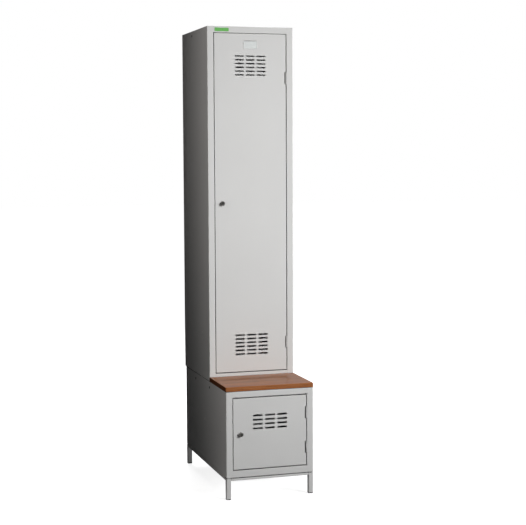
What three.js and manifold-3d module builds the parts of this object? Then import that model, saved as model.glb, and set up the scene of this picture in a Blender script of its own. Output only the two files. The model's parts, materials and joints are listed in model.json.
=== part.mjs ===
// Locker with bench: a tall steel locker on a deeper base box, with a timber seat in front of it.
// Millimetres, +Z up, front towards -Y. The origin lies under the middle of the bounding box, on the floor.
import * as THREE from "three";
import { mergeVertices } from "three/addons/utils/BufferGeometryUtils.js";
import Module from "manifold-3d";

const wasm = await Module();
wasm.setup();

// Driving dimensions of the whole
const width = 380;
const tallDepth = 450;
const tallHeight = 1520;
const seatReach = 265; // base front to tall body front
const rearOverhang = 20; // tall body behind the base
const baseHeight = 362;
const standHeight = 93;

// Sheet steel, its folds and the clearances between pieces
const sheet = 1;
const bend = 1.6; // outside radius of a fold
const fitGap = 0.3;
const overrun = 5; // how far a cutter runs past what it cuts
const stileWidth = 27.5;
const returnDepth = 20; // front face to the back of the door stop
const stopWidth = 12;
const backFlange = 15;
const weldFlange = 12;

// Each front: its rails, and the gaps between them and the door
const tallFront = { topRail: 27, floorRail: 32.5, topGap: 1.5, bottomGap: 3.5 };
const baseFront = { topRail: 26, floorRail: 29.5, topGap: 4, bottomGap: 4 };

// Doors
const doorDepth = 16;
const doorLip = 12;
const gapLockSide = 2.5;
const gapHingeSide = 3;

// Vents: the first row's distance from the door edge that it is counted from, the pitches, and the length
// and height of a slot
const ventColumns = 3;
const tallTopVents = { rows: 6, inset: 95.5, rowPitch: 15.9, columnPitch: 48, length: 40, height: 6 };
const tallFloorVents = { rows: 6, inset: 77, rowPitch: 16.6, columnPitch: 52, length: 43, height: 7.5 };
const baseVents = { rows: 4, inset: 75, rowPitch: 18.2, columnPitch: 53, length: 43.5, height: 7.5 };

// Hinges: knuckles in a notch of the door's front edge, leaves side by side between door and stile
const knuckleRadius = 2;
const pinRadius = 1;
const pinClearance = 0.2;
const pinHead = 0.8;
const axisDepth = 1.5; // hinge axis behind the front face
const hingeHeight = 50;
const knuckleShare = 0.5; // the stile leaf's middle knuckle, as a share of the hinge height
const leafThickness = 0.8;
const hingeNotchWidth = 6;
const hingeNotchClearance = 1;
const tallHingeInsets = { top: 186.5, bottom: 122 };
const baseHingeInsets = { top: 75, bottom: 75 };

// Cam locks
const lockInset = 32.5; // lock axis to the door's free edge
const tallLockRise = 733; // lock axis above the door's bottom edge
const baseLockRise = 148.5;
const lockHeadRadius = 9;
const lockHeadReach = 12;
const lockHeadEase = 2;
const lockBodyRadius = 8;
const lockBodyLength = 20.3;
const plugRadius = 5.5;
const plugReach = 0.6; // plug face proud of the lock head
const keySlotWidth = 1.4;
const keySlotLength = 7;
const keySlotDepth = 4;
const tailSquare = 7;
const tailLength = 3;
const nutThickness = 5;
const nutWidth = 22;
const camThickness = 2;
const camStandoff = 1; // cam behind the door stop
const camReach = 32;
const camWidth = 14;
const camScrewWidth = 10;
const camScrewHeight = 2.5;
const camScrewBore = 1.6;
const camScrewShank = 4;

// Door fittings
const stiffenerWidth = 16;
const stiffenerDepth = 11;
const stiffenerFlange = 7;
const stiffenerInset = 64; // channel centre to the door's free edge
const stiffenerEnd = 30;
const holderWidth = 62;
const holderHeight = 32;
const holderDrop = 48; // holder centre below the door's top edge
const holderThickness = 1.5;
const holderWall = 0.6;
const holderRim = 3;
const cardThickness = 0.4;
const cardSlitHeight = 2; // slit in the door just above the card
const cardSlitInset = 2; // end of the slit to the holder's side
const bufferHeadRadius = 5;
const bufferStemRadius = 2.2;
const bufferBulbRadius = 3.2;
const bufferBulbLength = 2.5;
const bufferInset = 60; // buffer to the door's top or bottom edge

// Inside the tall body
const shelfDrop = 300;
const shelfSetback = 34;
const shelfFrontFold = 20;
const shelfHem = 9;
const shelfFlange = 15;
const coatRailDrop = 48; // rail axis below the shelf
const coatRailRadius = 11;
const coatRailWall = 1.5;
const socketFlangeRadius = 20;
const socketFlange = 2;
const socketCupWall = 2;
const socketCupDepth = 14;

// Holes in the sides, through which neighbouring lockers are bolted together
const linkHoleRadius = 3.5;
const tallLinkHoles = { drop: 20.5, setbacks: [266] };
const baseLinkHoles = { drop: 26, setbacks: [270, 512] };

// Timber seat
const seatThickness = 19;
const seatSideOverhang = 2;
const seatCorner = 5;
const seatEase = 2;

// Stand
const legWidth = 20;
const tubeWall = 1.5;
const tubeCorner = 2;
const railHeight = 10;
const standGap = 3; // shadow gap between stand and base, kept open by a pad on each leg
const padInset = 3.5;
const padPlug = 3; // depth of the pad's plug in the tube's end
const padBite = 0.5; // its weld into the tube's wall
const capFlange = 4;
const capInsert = 14;
const capInsertWall = 2;

// Facet counts
const bendSteps = 3;
const slotEndSteps = 4;
const roundSides = 24;
const smallSides = 16;

// Worked out from the above
const halfWidth = width / 2;
const baseDepth = seatReach + tallDepth - rearOverhang;
const baseFloor = standHeight;
const tallFloor = baseFloor + baseHeight + fitGap;
const standTop = standHeight - standGap;
const stopFace = returnDepth - sheet;
const openingHalf = halfWidth - stileWidth;
const doorLeft = -openingHalf + gapLockSide;
const doorRight = openingHalf - gapHingeSide;
const hingeX = openingHalf - fitGap - knuckleRadius;
const lockX = doorLeft + lockInset;
const camFront = returnDepth + camStandoff;
const camScrewSeat = camFront + tailLength + fitGap;
const frontMost = -fitGap - lockHeadReach - plugReach;
const backMost = seatReach + tallDepth;

const finish = (color, roughness, metalness) =>
  new THREE.MeshStandardMaterial({ color, roughness, metalness, flatShading: true });
const materials = {
  paint: finish(0xcdcecd, 0.45, 0.1),
  timber: finish(0x96613c, 0.3, 0),
  plastic: finish(0x1c1c1d, 0.5, 0),
  lock: finish(0x34332f, 0.35, 0.4),
  zinc: finish(0xa8aaac, 0.35, 0.9),
  rubber: finish(0x2a2a2a, 0.8, 0),
  card: finish(0xe6ecea, 0.6, 0),
  clear: finish(0xd8dcdc, 0.25, 0),
};

// Solids: join and cut take geometries or solids and give a solid back
function solidFrom(part) {
  if (!part.isBufferGeometry) return part;
  const bare = new THREE.BufferGeometry();
  const flat = part.index ? part.toNonIndexed() : part;
  bare.setAttribute("position", flat.getAttribute("position"));
  const merged = mergeVertices(bare);
  return new wasm.Manifold(
    new wasm.Mesh({
      numProp: 3,
      vertProperties: merged.getAttribute("position").array,
      triVerts: new Uint32Array(merged.index.array),
    }),
  );
}

const join = (...parts) => parts.map(solidFrom).reduce((all, part) => all.add(part));
const cut = (body, ...tools) =>
  tools.map(solidFrom).reduce((left, tool) => left.subtract(tool), solidFrom(body));

function geometryFrom(part) {
  if (part.isBufferGeometry) return part;
  const { vertProperties, triVerts } = part.getMesh();
  const geometry = new THREE.BufferGeometry();
  geometry.setAttribute("position", new THREE.BufferAttribute(vertProperties, 3));
  geometry.setIndex(new THREE.BufferAttribute(triVerts, 1));
  return geometry.toNonIndexed();
}

function piece(name, material, part) {
  const geometry = geometryFrom(part);
  geometry.computeVertexNormals();
  const mesh = new THREE.Mesh(geometry, material);
  mesh.name = name;
  return mesh;
}

// Outlines: lists of points in the plane that is extruded
const point = (u, v) => new THREE.Vector2(u, v);
const mapped = (points, place) => points.map(({ x, y }) => point(...place(x, y)));

function arc(centreU, centreV, radius, start, sweep, steps) {
  return Array.from({ length: steps + 1 }, (_, i) => {
    const angle = start + (sweep * i) / steps;
    return point(centreU + radius * Math.cos(angle), centreV + radius * Math.sin(angle));
  });
}

const circle = (radius, sides = roundSides, u = 0, v = 0) =>
  arc(u, v, radius, 0, 2 * Math.PI, sides).slice(0, sides);

const rectangle = (lowU, highU, lowV, highV) => [
  point(lowU, lowV),
  point(highU, lowV),
  point(highU, highV),
  point(lowU, highV),
];

function roundedRectangle(lowU, highU, lowV, highV, radius, steps = bendSteps) {
  const corners = [
    [highU - radius, highV - radius],
    [lowU + radius, highV - radius],
    [lowU + radius, lowV + radius],
    [highU - radius, lowV + radius],
  ];
  const quarter = Math.PI / 2;
  return corners.flatMap(([u, v], i) => arc(u, v, radius, i * quarter, quarter, steps));
}

// The closed outline of a sheet folded square along a path. The path is the face that shows, with the
// sheet's thickness on its right.
function foldedSheet(path, thickness = sheet, radius = bend) {
  const faces = [];
  const backs = [];
  const heading = (i) => path[i + 1].clone().sub(path[i]).normalize();
  const right = (d) => point(d.y, -d.x);
  const add = (face, back) => {
    faces.push(face);
    backs.unshift(back);
  };
  add(path[0], path[0].clone().addScaledVector(right(heading(0)), thickness));
  for (let i = 1; i < path.length - 1; i++) {
    const before = heading(i - 1);
    const turn = Math.sign(before.cross(heading(i)));
    const faceRadius = turn < 0 ? radius : radius - thickness;
    const backRadius = turn < 0 ? radius - thickness : radius;
    const inward = right(before).multiplyScalar(-turn);
    const centre = path[i].clone().addScaledVector(before, -faceRadius).addScaledVector(inward, faceRadius);
    const start = Math.atan2(-inward.y, -inward.x);
    const quarter = (turn * Math.PI) / 2;
    const faceArc = arc(centre.x, centre.y, faceRadius, start, quarter, bendSteps);
    const backArc = arc(centre.x, centre.y, backRadius, start, quarter, bendSteps);
    faceArc.forEach((face, k) => add(face, backArc[k]));
  }
  const last = path.length - 1;
  add(path[last], path[last].clone().addScaledVector(right(heading(last - 1)), thickness));
  return [...faces, ...backs];
}

// Extrusions along each axis, from a low to a high value
function extruded(points, length, holes = []) {
  const shape = new THREE.Shape(points);
  shape.holes = holes.map((hole) => new THREE.Path(hole));
  return new THREE.ExtrudeGeometry(shape, { depth: length, bevelEnabled: false });
}

const yzToX = new THREE.Matrix4().makeBasis(
  new THREE.Vector3(0, 1, 0),
  new THREE.Vector3(0, 0, 1),
  new THREE.Vector3(1, 0, 0),
);
const alongX = (pointsYZ, low, high, holes) =>
  extruded(pointsYZ, high - low, holes).applyMatrix4(yzToX).translate(low, 0, 0);
const alongY = (pointsXZ, low, high, holes) =>
  extruded(pointsXZ, high - low, holes).rotateX(Math.PI / 2).translate(0, high, 0);
const alongZ = (pointsXY, low, high, holes) =>
  extruded(pointsXY, high - low, holes).translate(0, 0, low);
const block = (lowX, highX, lowY, highY, lowZ, highZ) =>
  alongZ(rectangle(lowX, highX, lowY, highY), lowZ, highZ);

// A turned piece about the Y axis, from a profile of [radius, y] pairs
const turned = (profile, sides = roundSides) =>
  new THREE.LatheGeometry(profile.map(([radius, y]) => point(radius, y)), sides);

const hexagon = (acrossFlats) => circle(acrossFlats / Math.sqrt(3), 6);

// Carcass: u runs back from the front face, v runs inward from the outside face
const carcassPath = (depth, rail) => [
  point(depth, backFlange),
  point(depth, 0),
  point(0, 0),
  point(0, rail),
  point(stopFace, rail),
  point(stopFace, rail + stopWidth),
];

function sidePanel(depth, height, sign, linkHoles, bufferHeights) {
  const folded = foldedSheet(carcassPath(depth, stileWidth));
  const section = mapped(folded, (u, v) => [sign * (halfWidth - v), u]);
  const panel = alongZ(section, sheet + fitGap, height - sheet - fitGap);
  const outside = sign * halfWidth;
  const links = linkHoles.setbacks.map((setback) => {
    const hole = circle(linkHoleRadius, smallSides, setback, height - linkHoles.drop);
    return alongX(hole, outside - overrun, outside + overrun);
  });
  const stopMiddle = sign * (openingHalf - stopWidth / 2);
  const buffers = bufferHeights.map((z) => {
    const hole = circle(bufferStemRadius + fitGap, smallSides, stopMiddle, z);
    return alongY(hole, stopFace - overrun / 2, returnDepth + overrun);
  });
  return cut(panel, ...links, ...buffers);
}

// A tray: its plate covers the ends of the sides, and its front fold is the rail between the stiles.
function tray(depth, rail) {
  const railHalf = openingHalf - fitGap;
  const section = foldedSheet(carcassPath(depth, rail));
  const folded = alongX(section, -railHalf, railHalf);
  const flangeOut = halfWidth - sheet - fitGap;
  const flangeBack = depth - 2 * (sheet + fitGap) - bend;
  const sides = [-1, 1].flatMap((sign) => {
    const inner = sign * railHalf;
    const outer = sign * halfWidth;
    const strip = block(Math.min(inner, outer), Math.max(inner, outer), 0, depth, 0, sheet);
    const face = sign * flangeOut;
    const back = face - sign * sheet;
    const low = Math.min(face, back);
    const flange = block(low, low + sheet, returnDepth + bend, flangeBack, 0, sheet + weldFlange);
    return [strip, flange];
  });
  const stopHalf = openingHalf - stopWidth - fitGap;
  const notchTop = rail + stopWidth + overrun;
  const notches = [-1, 1].map((sign) => {
    const low = Math.min(sign * stopHalf, sign * openingHalf);
    const high = low + openingHalf - stopHalf;
    return block(low, high, stopFace - fitGap, returnDepth + fitGap, sheet + fitGap, notchTop);
  });
  return cut(join(folded, ...sides), ...notches);
}

const turnedOver = (part, height) =>
  solidFrom(geometryFrom(part).rotateY(Math.PI).translate(0, 0, height));

// Its edges stay clear of the inside radius of the folds around it.
function backPanel(depth, height) {
  const back = depth - sheet - fitGap;
  const half = halfWidth - bend;
  return block(-half, half, back - sheet, back, bend, height - bend);
}

function carcass(name, depth, height, front, linkHoles, bufferHeights) {
  return [
    piece(`${name}_left_side`, materials.paint, sidePanel(depth, height, -1, linkHoles, bufferHeights)),
    piece(`${name}_right_side`, materials.paint, sidePanel(depth, height, 1, linkHoles, [])),
    piece(`${name}_top`, materials.paint, turnedOver(tray(depth, front.topRail), height)),
    piece(`${name}_floor`, materials.paint, tray(depth, front.floorRail)),
    piece(`${name}_back`, materials.paint, backPanel(depth, height)),
  ];
}

// Door: a pan with eased front edges and a lip round its back, drawn with z from its bottom edge
function doorPan(height) {
  const outer = new THREE.Shape(rectangle(doorLeft + bend, doorRight - bend, bend, height - bend));
  const easing = { bevelSize: bend, bevelThickness: bend, bevelSegments: bendSteps };
  const eased = new THREE.ExtrudeGeometry(outer, { depth: doorDepth, ...easing })
    .rotateX(Math.PI / 2)
    .translate(0, doorDepth + bend, 0);
  const behind = block(doorLeft - overrun, doorRight + overrun, doorDepth, doorDepth + 2 * bend + overrun,
    -overrun, height + overrun);
  const hollow = block(doorLeft + sheet, doorRight - sheet, sheet, doorDepth - sheet,
    sheet, height - sheet);
  const mouth = block(doorLeft + doorLip, doorRight - doorLip, doorDepth - 2 * sheet, doorDepth + overrun,
    doorLip, height - doorLip);
  return cut(eased, behind, hollow, mouth);
}

function ventCutters({ rows, rowPitch, columnPitch, length, height }, firstRow, way) {
  const cutters = [];
  const middle = (doorLeft + doorRight) / 2;
  for (let row = 0; row < rows; row++)
    for (let column = 0; column < ventColumns; column++) {
      const x = middle + (column - (ventColumns - 1) / 2) * columnPitch;
      const z = firstRow + way * row * rowPitch;
      const outline = roundedRectangle(x - length / 2, x + length / 2, z - height / 2, z + height / 2,
        height / 2, slotEndSteps);
      cutters.push(alongY(outline, -overrun, overrun));
    }
  return cutters;
}

function hingeNotch(z) {
  const half = hingeHeight / 2 + hingeNotchClearance;
  const depth = axisDepth + knuckleRadius + hingeNotchClearance;
  return block(doorRight - hingeNotchWidth, doorRight + overrun, -overrun, depth, z - half, z + half);
}

const lockHole = (z) =>
  alongY(circle(lockBodyRadius + fitGap, roundSides, lockX, z), -overrun, overrun);

function cardSlit(holderZ) {
  const middle = (doorLeft + doorRight) / 2;
  const half = holderWidth / 2 - cardSlitInset;
  const low = holderZ + holderHeight / 2;
  return block(middle - half, middle + half, -overrun, overrun, low, low + cardSlitHeight);
}

// Hinge, about its own axis: the stile leaf has the middle knuckle, the door leaf the two outer ones
const hingeHalf = hingeHeight / 2;
const knuckleHalf = hingeHalf * knuckleShare;
const knuckleBore = () => circle(pinRadius + pinClearance, smallSides);
const knuckle = (low, high) => alongZ(circle(knuckleRadius, roundSides), low, high);
const bore = () => alongZ(knuckleBore(), -hingeHeight, hingeHeight);

function stileLeaf() {
  const plateRight = knuckleRadius;
  const plateBack = stopFace - axisDepth - bend;
  const plate = block(plateRight - leafThickness, plateRight, 0, plateBack, -hingeHalf, hingeHalf);
  const reach = knuckleRadius + fitGap;
  const clear = [-1, 1].map((sign) => {
    const low = Math.min(sign * knuckleHalf, sign * (hingeHalf + overrun));
    const high = low + hingeHalf + overrun - knuckleHalf;
    return alongZ(circle(reach, roundSides), low, high);
  });
  const trim = [-1, 1].map((sign) => {
    const low = Math.min(sign * knuckleHalf, sign * (hingeHalf + overrun));
    return block(-reach, reach + overrun, -overrun, reach, low, low + hingeHalf + overrun - knuckleHalf);
  });
  return cut(join(cut(plate, ...clear, ...trim), knuckle(-knuckleHalf, knuckleHalf)), bore());
}

function doorLeaf() {
  const face = doorRight + fitGap - hingeX;
  const plateBack = doorDepth - axisDepth - bend;
  const plate = block(face, face + leafThickness, 0, plateBack, -hingeHalf, hingeHalf);
  const start = knuckleHalf + fitGap;
  const knuckles = [knuckle(-hingeHalf, -start), knuckle(start, hingeHalf)];
  const reach = knuckleRadius + fitGap;
  const clear = block(-reach, reach, -overrun, reach, -start, start);
  return cut(join(cut(plate, clear), ...knuckles), bore());
}

const hingePin = () =>
  join(
    alongZ(circle(pinRadius, smallSides), -hingeHalf - fitGap, hingeHalf + fitGap),
    alongZ(circle(pinRadius + pinHead, smallSides), hingeHalf + fitGap, hingeHalf + fitGap + pinHead / 2),
  );

// Cam lock, about its own axis with y = 0 on the door's front face
function lockBarrel() {
  const front = -fitGap - lockHeadReach;
  const inner = plugRadius + fitGap;
  return turned([
    [inner, front],
    [lockHeadRadius - lockHeadEase, front],
    [lockHeadRadius, front + lockHeadEase],
    [lockHeadRadius, -fitGap],
    [lockBodyRadius, -fitGap],
    [lockBodyRadius, lockBodyLength],
    [inner, lockBodyLength],
    [inner, front],
  ]);
}

const ringNut = () => {
  const front = sheet + fitGap;
  const hole = circle(lockBodyRadius + fitGap);
  return alongY(hexagon(nutWidth), front, front + nutThickness, [hole]);
};

function lockPlug() {
  const front = -fitGap - lockHeadReach - plugReach;
  const back = lockBodyLength + fitGap;
  const core = alongY(circle(plugRadius), front, back);
  const half = tailSquare / 2;
  const tail = block(-half, half, back - overrun, camFront + tailLength, -half, half);
  const slot = block(-keySlotWidth / 2, keySlotWidth / 2, front - overrun, front + keySlotDepth,
    -keySlotLength / 2, keySlotLength / 2);
  const thread = alongY(circle(camScrewBore + fitGap, smallSides), camScrewSeat - camScrewShank - fitGap,
    camScrewSeat + overrun);
  return cut(join(core, tail), slot, thread);
}

function lockCam() {
  const half = camWidth / 2;
  const tip = [point(half, -camReach + half / 2), point(half / 2, -camReach), point(-half / 2, -camReach),
    point(-half, -camReach + half / 2)];
  const outline = [...arc(0, 0, half, 0, Math.PI, smallSides / 2), ...tip.reverse()];
  const holeHalf = tailSquare / 2 + fitGap;
  const hole = rectangle(-holeHalf, holeHalf, -holeHalf, holeHalf);
  return alongY(outline, camFront, camFront + camThickness, [hole]);
}

function camScrew() {
  const top = camScrewSeat + camScrewHeight;
  const head = alongY(hexagon(camScrewWidth), camScrewSeat, top);
  const shank = alongY(circle(camScrewBore, smallSides), camScrewSeat - camScrewShank,
    top - camScrewHeight / 2);
  return join(head, shank);
}

// Door fittings, drawn in the door's frame
function stiffener(height) {
  const middle = doorLeft + stiffenerInset;
  const half = stiffenerWidth / 2;
  const face = sheet + fitGap;
  const path = [
    point(middle - half - stiffenerFlange, face),
    point(middle - half, face),
    point(middle - half, face + stiffenerDepth),
    point(middle + half, face + stiffenerDepth),
    point(middle + half, face),
    point(middle + half + stiffenerFlange, face),
  ].reverse();
  return alongZ(foldedSheet(path), stiffenerEnd, height - stiffenerEnd);
}

function cardHolder() {
  const half = holderWidth / 2;
  const low = -holderHeight / 2;
  const high = holderHeight / 2;
  const back = -fitGap;
  const front = back - holderThickness;
  const body = block(-half, half, front, back, low, high);
  const pocket = block(-half + holderWall, half - holderWall, front + holderWall, back + overrun,
    low + holderWall, high + overrun);
  const window = block(-half + holderRim, half - holderRim, front - overrun, back,
    low + holderRim, high + overrun);
  return cut(body, pocket, window);
}

function nameCard() {
  const half = holderWidth / 2 - holderWall - fitGap;
  const low = -holderHeight / 2 + holderWall + fitGap;
  return block(-half, half, -fitGap - cardThickness, -fitGap, low, holderHeight / 2);
}

function buffer() {
  const headBack = stopFace - fitGap;
  const headFront = doorDepth + fitGap;
  const bulb = returnDepth + fitGap;
  return turned([
    [0, headFront],
    [bufferHeadRadius, headFront],
    [bufferHeadRadius, headBack],
    [bufferStemRadius, headBack],
    [bufferStemRadius, bulb],
    [bufferBulbRadius, bulb],
    [bufferStemRadius, bulb + bufferBulbLength],
    [0, bulb + bufferBulbLength],
  ], smallSides);
}

function placed(mesh, x, y, z) {
  mesh.position.set(x, y, z);
  return mesh;
}

const group = (...children) => new THREE.Group().add(...children.flat());

// Both doors in their frames: door z is measured from the door's bottom edge
function lockGroups(name, rise) {
  const housing = group(
    piece(`${name}_lock_barrel`, materials.lock, lockBarrel()),
    piece(`${name}_lock_nut`, materials.zinc, ringNut()),
  );
  const core = group(
    piece(`${name}_lock_plug`, materials.lock, lockPlug()),
    piece(`${name}_lock_cam`, materials.zinc, lockCam()),
    piece(`${name}_lock_cam_screw`, materials.zinc, camScrew()),
  );
  return [placed(housing, lockX, 0, rise), placed(core, lockX, 0, rise)];
}

function hingeGroups(name, heights) {
  return Object.entries(heights).map(([place, z]) =>
    placed(
      group(
        piece(`${name}_hinge_${place}_stile_leaf`, materials.paint, stileLeaf()),
        piece(`${name}_hinge_${place}_door_leaf`, materials.paint, doorLeaf()),
        piece(`${name}_hinge_${place}_pin`, materials.zinc, hingePin()),
      ),
      hingeX,
      axisDepth,
      z,
    ),
  );
}

function door(name, height, insets, lockRise, openings, extras) {
  const hinges = { top: height - insets.top, bottom: insets.bottom };
  const cutters = [...openings, lockHole(lockRise), ...Object.values(hinges).map(hingeNotch)];
  return group(
    piece(`${name}_door`, materials.paint, cut(doorPan(height), ...cutters)),
    hingeGroups(name, hinges),
    lockGroups(name, lockRise),
    extras,
  );
}

// A front's door: the height of its bottom edge in the body, and its own height
function doorSpan(height, { topRail, floorRail, topGap, bottomGap }) {
  const doorZ = floorRail + bottomGap;
  return { doorZ, doorHeight: height - topRail - topGap - doorZ };
}

const bufferHeightsFor = ({ doorZ, doorHeight }) => [doorZ + bufferInset, doorZ + doorHeight - bufferInset];

function buffers(name, heights) {
  const x = -(openingHalf - stopWidth / 2);
  return ["bottom", "top"].map((place, i) =>
    placed(piece(`${name}_buffer_${place}`, materials.rubber, buffer()), x, 0, heights[i]),
  );
}

// Hat shelf and coat rail, drawn in the tall body's frame
function hatShelf() {
  const top = tallHeight - shelfDrop;
  const half = halfWidth - sheet - fitGap;
  const back = tallDepth - 2 * (sheet + fitGap);
  const path = [
    point(back, top - shelfFlange),
    point(back, top),
    point(shelfSetback, top),
    point(shelfSetback, top - shelfFrontFold),
    point(shelfSetback + shelfHem, top - shelfFrontFold),
  ].reverse();
  const sides = [-half, half - sheet].map((x) =>
    block(x, x + sheet, shelfSetback + bend, back - bend, top - shelfFlange, top - sheet / 2),
  );
  return join(alongX(foldedSheet(path), -half, half), ...sides);
}

const coatRailZ = tallHeight - shelfDrop - coatRailDrop;
const coatRailY = (returnDepth + tallDepth) / 2;

function coatRail() {
  const half = halfWidth - sheet - socketFlange - 3 * fitGap;
  const outer = circle(coatRailRadius);
  return alongX(outer, -half, half, [circle(coatRailRadius - coatRailWall)]);
}

function railSocket(sign) {
  const wall = halfWidth - sheet - fitGap;
  const inner = coatRailRadius + fitGap;
  const outer = inner + socketCupWall;
  const mouth = wall - socketCupDepth;
  const cup = turned([
    [0, wall - socketFlange],
    [inner, wall - socketFlange],
    [inner, mouth],
    [outer, mouth],
    [outer, wall - socketFlange],
    [socketFlangeRadius, wall - socketFlange],
    [socketFlangeRadius, wall],
    [0, wall],
  ]);
  return cup.rotateZ((-sign * Math.PI) / 2);
}

// Timber seat: a board with rounded corners and eased edges
function seatBoard() {
  const half = halfWidth + seatSideOverhang - seatEase;
  const back = seatReach - fitGap - seatEase;
  const outline = roundedRectangle(-half, half, seatEase, back, seatCorner - seatEase);
  const easing = { bevelSize: seatEase, bevelThickness: seatEase, bevelSegments: bendSteps };
  const shape = new THREE.Shape(outline);
  return new THREE.ExtrudeGeometry(shape, { depth: seatThickness - 2 * seatEase, ...easing })
    .translate(0, 0, seatEase);
}

// Stand: square tubes, each a ring extruded along its length
const ring = (lowU, highU, lowV, highV) => ({
  outer: roundedRectangle(lowU, highU, lowV, highV, tubeCorner),
  inner: rectangle(lowU + tubeWall, highU - tubeWall, lowV + tubeWall, highV - tubeWall),
});

// A leg's end is plugged by a pad that stands a little proud, and the base rests on the four pads.
function leg() {
  const half = legWidth / 2;
  const { outer, inner } = ring(-half, half, -half, half);
  const plugHalf = half - tubeWall + padBite;
  const padHalf = half - padInset;
  const plugLow = standTop - padPlug;
  return join(
    alongZ(outer, capFlange + fitGap, standTop, [inner]),
    block(-plugHalf, plugHalf, -plugHalf, plugHalf, plugLow, standTop),
    block(-padHalf, padHalf, -padHalf, padHalf, plugLow, standHeight - fitGap),
  );
}

function rail(length, extrude) {
  const half = legWidth / 2;
  const { outer, inner } = ring(-half, half, standTop - railHeight, standTop);
  return extrude(outer, -length / 2, length / 2, [inner]);
}

function footCap() {
  const half = legWidth / 2;
  const flange = alongZ(roundedRectangle(-half, half, -half, half, tubeCorner), 0, capFlange);
  const insert = half - tubeWall - fitGap;
  const hollow = insert - capInsertWall;
  const plug = block(-insert, insert, -insert, insert, capFlange / 2, capFlange + capInsert);
  const core = block(-hollow, hollow, -hollow, hollow, capFlange, capFlange + capInsert + overrun);
  return cut(join(flange, plug), core);
}

function stand() {
  const legX = halfWidth - legWidth / 2;
  const frontY = legWidth / 2;
  const backY = baseDepth - legWidth / 2;
  const corners = { front_left: [-legX, frontY], front_right: [legX, frontY], back_left: [-legX, backY],
    back_right: [legX, backY] };
  const legs = Object.entries(corners).flatMap(([place, [x, y]]) => [
    placed(piece(`stand_leg_${place}`, materials.paint, leg()), x, y, 0),
    placed(piece(`foot_cap_${place}`, materials.plastic, footCap()), x, y, 0),
  ]);
  const across = width - 2 * (legWidth + fitGap);
  const along = baseDepth - 2 * (legWidth + fitGap);
  const alongDepth = (outer, low, high, holes) => alongX(outer, low, high, holes).rotateZ(Math.PI / 2);
  const rails = [
    placed(piece("stand_rail_front", materials.paint, rail(across, alongX)), 0, frontY, 0),
    placed(piece("stand_rail_back", materials.paint, rail(across, alongX)), 0, backY, 0),
    placed(piece("stand_rail_left", materials.paint, rail(along, alongDepth)), -legX, baseDepth / 2, 0),
    placed(piece("stand_rail_right", materials.paint, rail(along, alongDepth)), legX, baseDepth / 2, 0),
  ];
  return group(legs, rails);
}

function tallBody() {
  const span = doorSpan(tallHeight, tallFront);
  const { doorZ, doorHeight } = span;
  const bufferHeights = bufferHeightsFor(span);
  const holderZ = doorHeight - holderDrop;
  const cutters = [
    ...ventCutters(tallTopVents, doorHeight - tallTopVents.inset, -1),
    ...ventCutters(tallFloorVents, tallFloorVents.inset, 1),
    cardSlit(holderZ),
  ];
  const holder = group(
    piece("tall_card_holder", materials.clear, cardHolder()),
    piece("tall_name_card", materials.card, nameCard()),
  );
  const extras = [
    piece("tall_door_stiffener", materials.paint, stiffener(doorHeight)),
    placed(holder, (doorLeft + doorRight) / 2, 0, holderZ),
  ];
  return group(
    carcass("tall", tallDepth, tallHeight, tallFront, tallLinkHoles, bufferHeights),
    buffers("tall", bufferHeights),
    placed(door("tall", doorHeight, tallHingeInsets, tallLockRise, cutters, extras), 0, 0, doorZ),
    piece("hat_shelf", materials.paint, hatShelf()),
    placed(piece("coat_rail", materials.zinc, coatRail()), 0, coatRailY, coatRailZ),
    placed(piece("coat_rail_socket_left", materials.zinc, railSocket(-1)), 0, coatRailY, coatRailZ),
    placed(piece("coat_rail_socket_right", materials.zinc, railSocket(1)), 0, coatRailY, coatRailZ),
  );
}

function baseBody() {
  const span = doorSpan(baseHeight, baseFront);
  const { doorZ, doorHeight } = span;
  const bufferHeights = bufferHeightsFor(span);
  const vents = ventCutters(baseVents, doorHeight - baseVents.inset, -1);
  return group(
    carcass("base", baseDepth, baseHeight, baseFront, baseLinkHoles, bufferHeights),
    buffers("base", bufferHeights),
    placed(door("base", doorHeight, baseHingeInsets, baseLockRise, vents, []), 0, 0, doorZ),
  );
}

const locker = group(
  stand(),
  placed(baseBody(), 0, 0, baseFloor),
  placed(tallBody(), 0, seatReach, tallFloor),
  placed(piece("seat_board", materials.timber, seatBoard()), 0, 0, tallFloor),
);
locker.position.y = -(frontMost + backMost) / 2;

export default locker;
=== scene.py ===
"""Locker with bench: finishes, fine fittings, floor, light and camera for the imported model. In metres."""
import json
import math

import bmesh
import bpy
from mathutils import Matrix, Vector

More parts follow.
